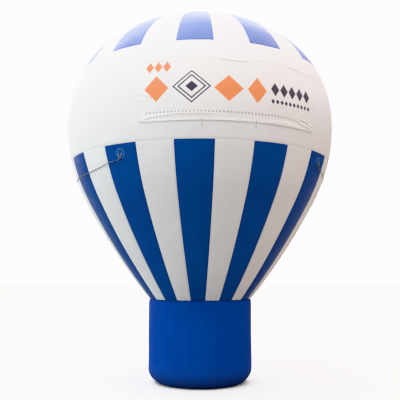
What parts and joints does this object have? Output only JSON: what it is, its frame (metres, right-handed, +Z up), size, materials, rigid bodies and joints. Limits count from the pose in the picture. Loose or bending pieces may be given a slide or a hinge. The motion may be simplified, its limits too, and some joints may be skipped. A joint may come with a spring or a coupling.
{
  "type": "hot-air-balloon-shaped cold-air inflatable with blower",
  "caption": "Advertising inflatable shaped like a striped hot-air balloon on a round inflated base, with a banner, anchor rings, stowed guy lines and a blower behind.",
  "frame": {"origin": "middle of the base, on the floor", "axes": "+Z up, -Y the front with the banner, +X to the viewer's right when facing the banner; the blower is behind the base at +Y"},
  "size_m": [3.6578, 3.663, 5.0033],
  "materials": {
    "white_fabric": "white coated fabric with a soft sheen, inflated and smooth",
    "blue_fabric": "royal blue coated fabric with a soft sheen",
    "banner_fabric": "off-white printed banner cloth, slightly wrinkled",
    "blue_webbing": "welded patch and sewn webbing",
    "ring_steel": "plated steel wire",
    "line_rope": "grey braided rope",
    "strap_webbing": "black webbing",
    "blower_shell": "moulded blue plastic",
    "blower_dark": "black plastic",
    "motor_paint": "grey paint",
    "impeller_steel": "galvanised sheet steel",
    "grille_steel": "plated wire guard"
  },
  "bodies": {
    "inflatable": {"white_crown": "white_fabric", "crown_cap": "blue_fabric", "crown_blue_gore_01": "blue_fabric", "crown_blue_gore_02": "blue_fabric", "crown_blue_gore_03": "blue_fabric", "crown_blue_gore_04": "blue_fabric", "crown_blue_gore_05": "blue_fabric", "crown_blue_gore_06": "blue_fabric", "crown_blue_gore_07": "blue_fabric", "crown_blue_gore_08": "blue_fabric", "crown_blue_gore_09": "blue_fabric", "crown_blue_gore_10": "blue_fabric", "crown_blue_gore_11": "blue_fabric", "crown_blue_gore_12": "blue_fabric", "white_band": "white_fabric", "lower_white_gore_01": "white_fabric", "lower_white_gore_02": "white_fabric", "lower_white_gore_03": "white_fabric", "lower_white_gore_04": "white_fabric", "lower_white_gore_05": "white_fabric", "lower_white_gore_06": "white_fabric", "lower_white_gore_07": "white_fabric", "lower_white_gore_08": "white_fabric", "lower_white_gore_09": "white_fabric", "lower_white_gore_10": "white_fabric", "lower_white_gore_11": "white_fabric", "lower_white_gore_12": "white_fabric", "lower_blue_gore_01": "blue_fabric", "lower_blue_gore_02": "blue_fabric", "lower_blue_gore_03": "blue_fabric", "lower_blue_gore_04": "blue_fabric", "lower_blue_gore_05": "blue_fabric", "lower_blue_gore_06": "blue_fabric", "lower_blue_gore_07": "blue_fabric", "lower_blue_gore_08": "blue_fabric", "lower_blue_gore_09": "blue_fabric", "lower_blue_gore_10": "blue_fabric", "lower_blue_gore_11": "blue_fabric", "lower_blue_gore_12": "blue_fabric", "banner": "banner_fabric", "base_wall": "blue_fabric", "base_floor": "blue_fabric", "anchor_patch_front_left": "blue_webbing", "anchor_patch_front_right": "blue_webbing", "anchor_patch_rear_left": "blue_webbing", "anchor_patch_rear_right": "blue_webbing", "d_ring_front_left": "ring_steel", "d_ring_front_right": "ring_steel", "d_ring_rear_left": "ring_steel", "d_ring_rear_right": "ring_steel", "guy_line_left": "line_rope", "guy_line_right": "line_rope", "inflation_sleeve": "blue_fabric", "sleeve_strap": "strap_webbing", "blower_housing": "blower_shell", "blower_motor": "motor_paint", "blower_switch_box": "blower_dark", "intake_grille": "grille_steel", "blower_handle": "blower_dark"},
    "impeller": {"blower_impeller": "impeller_steel"}
  },
  "joints": [
    {"name": "impeller_spin", "type": "hinge", "parent": "inflatable", "child": "impeller", "pos_m": [0, 1.38, 0.22], "axis": [1, 0, 0], "continuous": true}
  ]
}
